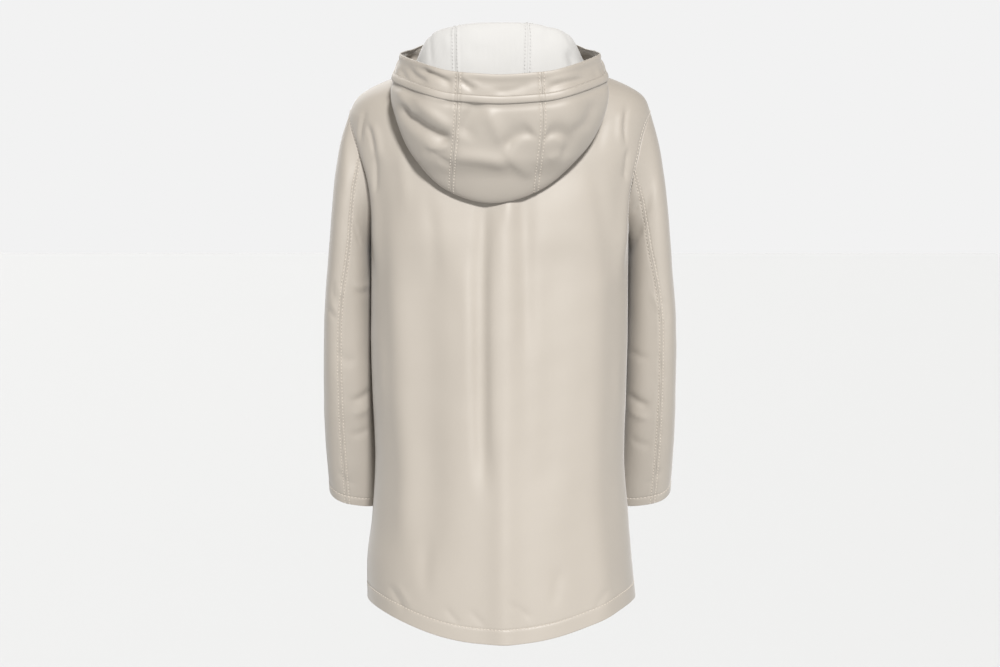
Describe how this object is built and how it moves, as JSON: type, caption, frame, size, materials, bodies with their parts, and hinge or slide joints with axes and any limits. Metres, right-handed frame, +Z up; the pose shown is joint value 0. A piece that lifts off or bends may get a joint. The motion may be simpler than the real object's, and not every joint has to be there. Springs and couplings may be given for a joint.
{
  "type": "hooded raincoat",
  "caption": "Hooded A-line raincoat, filled out as worn: long back with a dropped hem, open cuffs and neck, hood hanging down behind, covered front closing.",
  "frame": {"origin": "on the axis of the neck, level with the side neck points of the shoulder seams, where the wearer's shoulders hold the coat", "axes": "+Z up, +Y towards the wearer's front, +X towards the wearer's right"},
  "size_m": [0.5194, 0.3739, 0.8667],
  "materials": {
    "coated_cloth": "satin coated cloth",
    "stud_metal": "satin"
  },
  "bodies": {
    "root": {"back": "coated_cloth", "front_left": "coated_cloth", "front_right": "coated_cloth", "placket": "coated_cloth", "sleeve_upper_left": "coated_cloth", "sleeve_under_left": "coated_cloth", "sleeve_upper_right": "coated_cloth", "sleeve_under_right": "coated_cloth", "hood_centre": "coated_cloth", "hood_side_left": "coated_cloth", "hood_side_right": "coated_cloth", "hood_channel": "coated_cloth", "press_stud_1": "stud_metal", "press_stud_2": "stud_metal", "press_stud_3": "stud_metal", "press_stud_4": "stud_metal", "press_stud_5": "stud_metal", "press_stud_6": "stud_metal"}
  },
  "joints": []
}
